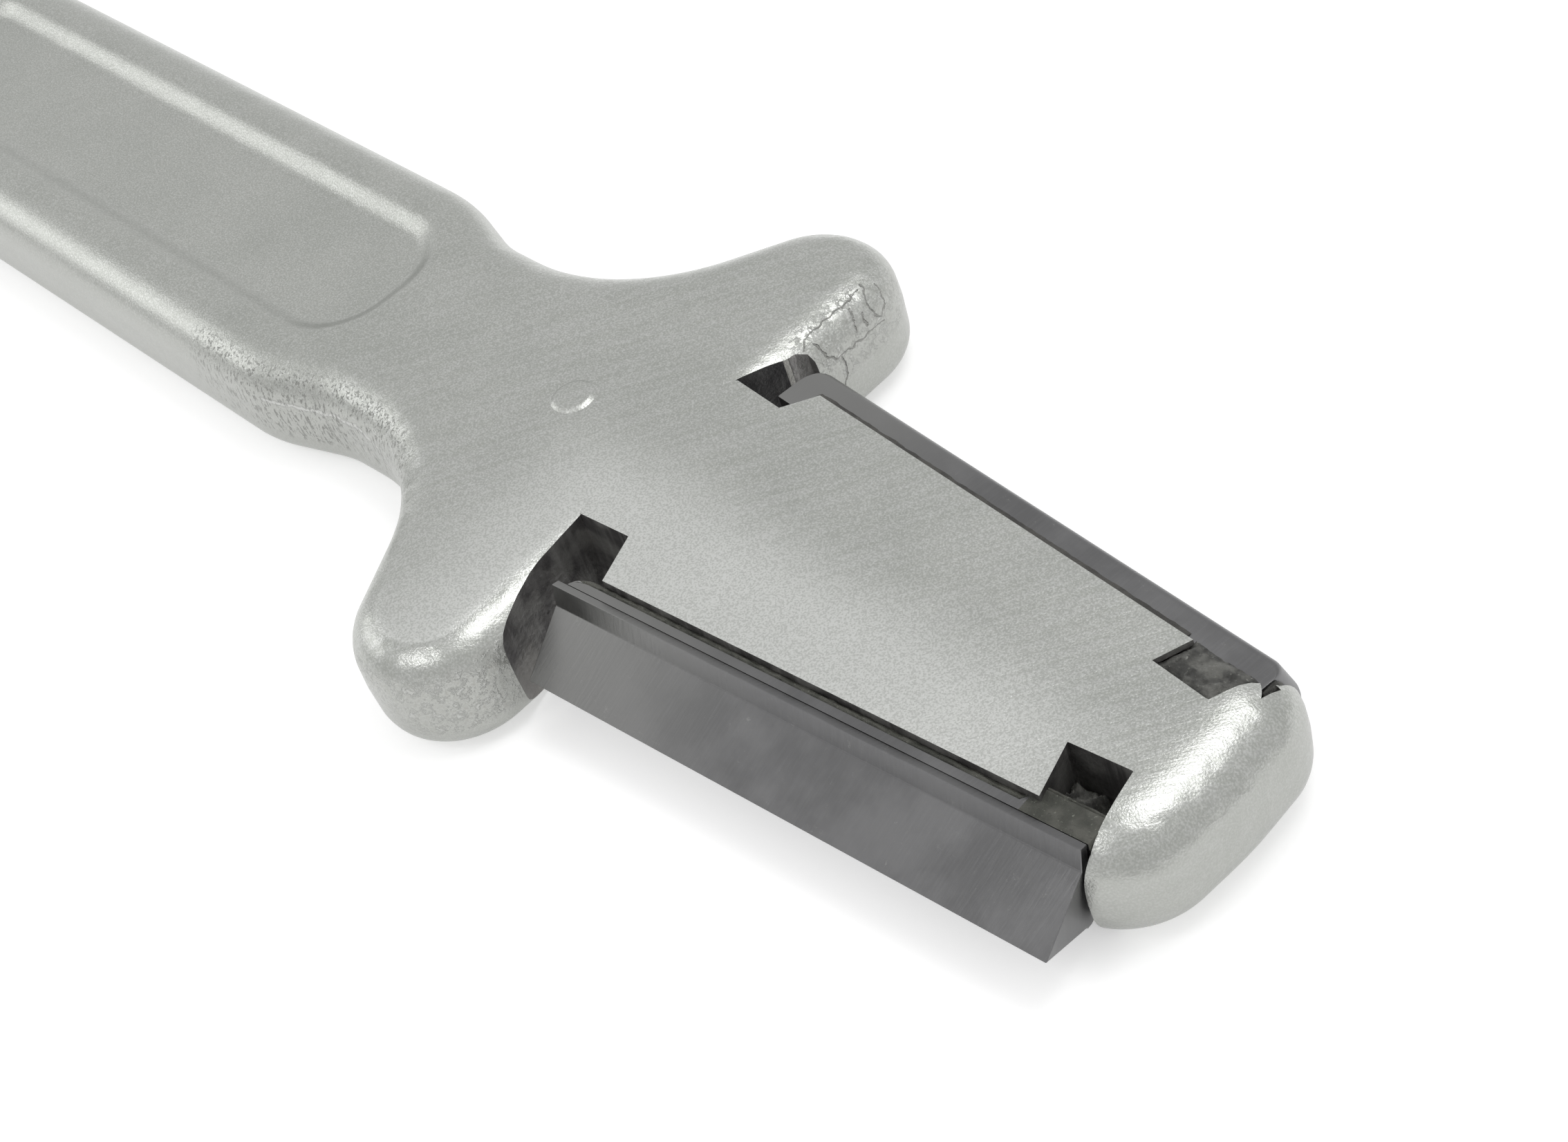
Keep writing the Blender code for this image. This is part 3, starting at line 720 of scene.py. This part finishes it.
def keep_piece(obj, node, material=None):
    if material is not None:
        obj.data.materials.clear()
        obj.data.materials.append(material)
    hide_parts(node)
    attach(obj, "root")


def recess_cutter(name, face, into):
    """A shallow tray whose side falls in one S-curve to its floor, a little gentler on the near side."""
    end, neck = RECESS_SPAN
    near, far = RECESS_SIDES
    corners = ((end, near), (neck, near), (neck, far), (end, far))
    outline = rounded([(x, y, RECESS_CORNER) for x, y in corners])
    rings = []
    for step in range(RECESS_STEPS + 1):
        share = step / RECESS_STEPS
        drop = RECESS_DEPTH * (1 - s_curve(share)) - SKIN
        ring = inset(outline, RECESS_SLOPE * (RECESS_MIDDLE - share))
        stretch = 1 - RECESS_NEAR_STRETCH * (RECESS_MIDDLE - share)
        rings.append([(x, y * stretch if y < 0.0 else y, face + into * drop) for x, y in ring])
    rings.append([(x, y, face - into * OVERRUN) for x, y, _ in rings[-1]])
    return loft(name, rings)


def raised_mark():
    """A disc that rises out of the guard's upper face. Its edge is steepest near the foot."""
    corners = ((-1, -1), (1, -1), (1, 1), (-1, 1))
    outline = rounded([(PIP_RADIUS * u + PIP_STATION, PIP_RADIUS * v, PIP_RADIUS) for u, v in corners])
    rings = [[(x, y, THICKNESS - OVERRUN) for x, y in outline]]
    for step in range(PIP_STEPS + 1):
        share = step / PIP_STEPS
        height = THICKNESS - SKIN + PIP_RISE * share ** 1.5 * (2.5 - 1.5 * share)
        rings.append([(x, y, height) for x, y in inset(outline, PIP_EDGE * share)])
    return loft("pip", rings)


def make_body(cast, cast_ear, notch):
    """The casting: handle, guard, plate and tip, with the notches, the slot, the recesses and the mark."""
    near = [(x, -y, radius) for x, y, radius in NEAR_GUARD]
    body = loft("burnisher_body", casting_rings(rounded(near + list(FAR_GUARD[::-1]))))
    plate = prism("plate", PLATE, 0.0, THICKNESS)
    tip = loft("tip", casting_rings(rounded(TIP_BODY), TIP_TOP_RADIUS, TIP_BOTTOM_RADIUS))
    guard_walls = prism("guard_walls", GUARD_WALLS, -OVERRUN, THICKNESS + OVERRUN)
    tip_walls = []
    for name, outline in (("tip_wall_near", TIP_WALL_NEAR), ("tip_wall_far", TIP_WALL_FAR)):
        tip_walls.append(prism(name, outline, -OVERRUN, THICKNESS + OVERRUN))
    slot_outline = [beside_plate(DROP_EDGE, 1, along, outward) for along, outward in SLOT_CORNERS]
    slot = prism("slot", slot_outline, SLOT_WALL, THICKNESS - SLOT_WALL)
    mark = raised_mark()
    for solid in (body, tip, mark):
        solid.data.materials.append(cast)
    for solid in (guard_walls, *tip_walls, slot):
        solid.data.materials.append(notch)
    plate.data.materials.append(cast)
    plate.data.materials.append(notch)
    for face in plate.data.polygons:
        face.material_index = 0 if abs(face.normal.z) > 0.5 else 1
    combine(body, [("DIFFERENCE", guard_walls)])
    combine(tip, [("DIFFERENCE", wall) for wall in tip_walls])
    combine(body, [
        ("UNION", plate),
        ("UNION", tip),
        ("DIFFERENCE", slot),
        ("DIFFERENCE", recess_cutter("recess_top", THICKNESS, -1)),
        ("DIFFERENCE", recess_cutter("recess_bottom", 0.0, 1)),
        ("UNION", mark),
    ])
    bevel(body, CASTING_BEVEL, 1, math.radians(60), material=0)
    body.data.materials.append(cast_ear)
    ear = metres(*EAR_CORNER)
    for face in body.data.polygons:
        on_ear = face.center.x > ear.x and face.center.y > ear.y
        if on_ear and face.material_index == 0 and face.normal.z < STRAIGHT_UP:
            face.material_index = len(body.data.materials) - 1
    smooth(body)
    keep_piece(body, "cast_body")


def make_triangular_bar(material):
    """The ground bar: a valley by the bead, a narrow strip, and two long faces that meet in an edge."""
    upper = list(TRIANGLE_SECTION)
    section = upper + [(outward, -height) for outward, height in upper[-2::-1]]
    start, end = TRIANGLE_SPAN
    foot, apex = TRIANGLE_SECTION[0][0], TRIANGLE_SECTION[-1][0]
    rings = [[], []]
    for outward, height in section:
        leaning_start = start + TRIANGLE_START_LEAN * (outward - foot)
        leaning_end = end - TRIANGLE_END_LEAN * (apex - outward) + TRIANGLE_UNDERCUT * min(height, 0.0)
        leaning_end += TRIANGLE_HEEL_LEAN * min(height - TRIANGLE_HEEL, 0.0)
        swell = TRIANGLE_SWELL if outward == apex else 0.0
        for ring, along, reach in zip(rings, (leaning_start, leaning_end), (outward, outward + swell)):
            ring.append((*beside_plate(TRIANGLE_EDGE, -1, along, reach), MID + height))
    bar = loft("triangular_bar_ground", rings)
    bevel(bar, BAR_BEVEL, 2)
    smooth(bar, math.radians(50))
    keep_piece(bar, "triangular_bar", material)


def make_drop_bar(material):
    """The bar with a flat top and an oval nose. Its end at the guard is round in plan."""
    start, end = DROP_SPAN
    section = rounded(DROP_SECTION)
    nose = max(outward for outward, _ in section)
    stations = []
    for step in range(DROP_CORNER_STEPS):
        angle = quarter_turn(step, DROP_CORNER_STEPS)
        cap = DROP_CORNER_REACH - DROP_CORNER * (1 - math.sin(angle))
        stations.append((start + DROP_CORNER * (1 - math.cos(angle)), cap, 1.0))
    stations.append((start + DROP_CORNER, nose, 1.0))
    for step in range(DROP_END_STEPS + 1):
        angle = quarter_turn(step, DROP_END_STEPS)
        share = 1 - DROP_END_NARROWING * (1 - math.cos(angle))
        stations.append((end - DROP_END * (1 - math.sin(angle)), nose, share))
    rings = []
    for along, cap, share in stations:
        ring = []
        for outward, height in section:
            reach = min(outward, cap) * (share if outward > 0.0 else 1.0)
            ring.append((*beside_plate(DROP_EDGE, 1, along, reach), MID + height))
        rings.append(ring)
    bar = loft("drop_bar_ground", rings)
    smooth(bar, math.radians(40))
    keep_piece(bar, "drop_bar", material)


def make_bead(tail, glue):
    """What lies between plate and triangular bar: a rough seam of adhesive, then the bar's flat tail."""
    start, end = BEAD_SPAN
    tail_in, tail_out = TAIL_WIDTHS
    rings = []
    for step in range(BEAD_STEPS + 1):
        along = start + (end - start) * (step / BEAD_STEPS) ** BEAD_CROWDING
        arch = math.sqrt(1 - max(0.0, 1 - (along - start + HAIR) / BEAD_ROUNDING) ** 2)
        shift = min(1.0, max(0.0, (along - BEAD_SHIFT_STATION) / BEAD_SHIFT_RUN))
        at_tail = tail_out - (tail_out - tail_in) * arch - BEAD_TAIL_SHIFT * shift
        at_plate = tail_out - (tail_out + SKIN) * arch - BEAD_PLATE_SHIFT * shift
        ring = []
        for part in range(BEAD_PARTS + 1):
            across = at_plate + (at_tail - at_plate) * part / BEAD_PARTS
            grit = rough((along * 1.5, across * 3.0, 3.0), 0.8, 4)
            rise = BEAD_SWELL * math.sin(math.pi * part / BEAD_PARTS) + BEAD_GRIT * grit
            ring.append((*beside_plate(TRIANGLE_EDGE, -1, along, across), MID + BEAD_TOP + rise))
        for across, height in ((at_tail, TAIL_TOP), (tail_out, TAIL_TOP), (tail_out + HAIR, TAIL_FOOT)):
            ring.append((*beside_plate(TRIANGLE_EDGE, -1, along, across + HAIR), MID + height))
        lowest = BEAD_TIP_LOWEST if along > BEAD_TIP_STATION else 0.0
        for x, y, z in ring[::-1]:
            ring.append((x, y, max(THICKNESS - z, lowest)))
        rings.append(ring)
    bead = loft("bead_and_tail", rings)
    bead.data.materials.append(glue)
    bead.data.materials.append(tail)
    across_plate = Vector((math.sin(BAR_ANGLE), -math.cos(BAR_ANGLE), 0.0))
    edge = metres(*beside_plate(TRIANGLE_EDGE, -1, 0.0, 0.0), 0.0)
    for face in bead.data.polygons:
        outward = (face.center - edge).dot(across_plate) / MM
        face.material_index = 1 if outward > tail_in + HAIR else 0
    smooth(bead, math.radians(50))
    keep_piece(bead, "triangular_bar_adhesive")


def make_seam(material):
    """The dark line along the plate's edge on the drop bar's flat top: adhesive, and a painted shadow of
    the edge.
    """
    rings = []
    for step in range(SEAM_STEPS + 1):
        along = SEAM_START + SEAM_LENGTH * step / SEAM_STEPS
        width = SEAM_WIDTH + SEAM_WAVER * rough((along * 0.7, 9.0, 0.0), 0.9, 4)
        section = ((-0.4, 0.0), (-0.4, 0.22), (0.1, 0.20), (0.4 * width + 0.15, 0.12), (width, 0.0))
        ring = []
        for side in (1, -1):
            for outward, height in section[::side]:
                z = MID + side * (DROP_TOP - SKIN + height)
                ring.append((*beside_plate(DROP_EDGE, 1, along, outward), z))
        rings.append(ring)
    seam = loft("drop_bar_seam", rings)
    smooth(seam)
    keep_piece(seam, "drop_bar_adhesive", material)


def between(corners, u, v):
    """The point inside four corners at the shares u and v."""
    low = [a + (b - a) * u for a, b in zip(corners[0], corners[1])]
    high = [a + (b - a) * u for a, b in zip(corners[3], corners[2])]
    return [a + (b - a) * v for a, b in zip(low, high)]


def lumpy_pad(name, corners, top, rise, columns, rows):
    """A rough pad between four corners, the same above and below the mid plane."""
    shape = bmesh.new()
    faces = ({}, {})
    for column in range(columns + 1):
        for row in range(rows + 1):
            u, v = column / columns, row / rows
            x, y = between(corners, u, v)
            lump = rough((x * 1.3, y * 1.3, 5.0), 0.9, 5)
            rim = min(1.0, PAD_RIM * min(u, 1 - u, v, 1 - v))
            z = top + rise * (lump + rim - 1)
            faces[0][column, row] = shape.verts.new(metres(x, y, z))
            faces[1][column, row] = shape.verts.new(metres(x, y, THICKNESS - z))
    for column in range(columns):
        for row in range(rows):
            quad = ((column, row), (column + 1, row), (column + 1, row + 1), (column, row + 1))
            for level in faces:
                shape.faces.new([level[key] for key in quad])
    border = [(column, 0) for column in range(columns)]
    border += [(columns, row) for row in range(rows)]
    border += [(column, rows) for column in range(columns, 0, -1)]
    border += [(0, row) for row in range(rows, 0, -1)]
    for index, key in enumerate(border):
        before = border[index - 1]
        shape.faces.new((faces[0][before], faces[0][key], faces[1][key], faces[1][before]))
    pad = as_object(name, shape)
    pad.data.shade_smooth()
    return pad


def make_pads(material):
    """The adhesive in the far notch at the tip, its run along the tip, and residue in the near notch."""
    filler = lumpy_pad("notch_filler", *NOTCH_FILLER)
    keep_piece(filler, "drop_bar_adhesive", material)
    seam = lumpy_pad("tip_seam", *TIP_SEAM)
    keep_piece(seam, "drop_bar_adhesive", material)
    rest = lumpy_pad("notch_residue", *NOTCH_RESIDUE)
    keep_piece(rest, "triangular_bar_adhesive", material)


# Studio


def make_floor():
    reach = FLOOR_REACH
    outline = ((-reach, -reach), (reach, -reach), (reach, reach), (-reach, reach))
    floor = prism("studio_floor", outline, -FLOOR_DEPTH, -SKIN)
    floor.data.materials.append(floor_material())


def make_world():
    """A white surround, seen as pure white by the camera and a little less bright as a light."""
    world = bpy.data.worlds.new("studio")
    bpy.context.scene.world = world
    world.use_nodes = True
    tree = world.node_tree
    background = tree.nodes["Background"]
    background.inputs["Color"].default_value = (*WHITE, 1.0)
    path = tree.nodes.new("ShaderNodeLightPath")
    seen = tree.nodes.new("ShaderNodeMath")
    seen.operation = "MAXIMUM"
    tree.links.new(path.outputs["Is Camera Ray"], seen.inputs[0])
    tree.links.new(path.outputs["Is Transmission Ray"], seen.inputs[1])
    level = tree.nodes.new("ShaderNodeMapRange")
    tree.links.new(seen.outputs[0], level.inputs["Value"])
    level.inputs["To Min"].default_value = WORLD_LEVEL
    level.inputs["To Max"].default_value = 1.0
    tree.links.new(level.outputs[0], background.inputs["Strength"])


def area_light(name, place, size, power, target):
    data = bpy.data.lights.new(name, "AREA")
    data.shape = "RECTANGLE"
    data.size, data.size_y = (side * MM for side in size)
    data.energy = power
    light = bpy.data.objects.new(name, data)
    bpy.context.scene.collection.objects.link(light)
    light.location = metres(*place)
    direction = metres(*target) - metres(*place)
    light.rotation_euler = direction.to_track_quat("-Z", "Y").to_euler()


def make_camera():
    data = bpy.data.cameras.new("camera")
    data.sensor_width = CAMERA_SENSOR
    data.sensor_fit = "HORIZONTAL"
    data.lens = CAMERA_LENS
    data.clip_start = CAMERA_CLIP * MM
    camera = bpy.data.objects.new("camera", data)
    bpy.context.scene.collection.objects.link(camera)
    right, down, forward = (Vector(axis).normalized() for axis in CAMERA_AXES)
    axes = Matrix((right, -down, -forward)).transposed().to_4x4()
    axes.translation = metres(*CAMERA_PLACE)
    camera.matrix_world = axes
    bpy.context.scene.camera = camera


carbide_metal = carbide()
make_body(aluminium("cast_aluminium", False), aluminium("cast_aluminium_ear", True), notch_metal())
make_triangular_bar(carbide_metal)
make_drop_bar(carbide_metal)
make_bead(carbide_metal, adhesive("bead_adhesive", *BEAD_COLOURS))
# The seam is coloured as adhesive, darkened further by a painted shadow along the plate's edge.
make_seam(adhesive("seam_adhesive_and_shade", *SEAM_COLOURS))
make_pads(adhesive("filler_adhesive", *FILLER_COLOURS))

bpy.context.scene.view_settings.view_transform = "Standard"
make_floor()
make_world()
for light_settings in LIGHTS:
    area_light(*light_settings)
make_camera()

bpy.context.view_layer.update()
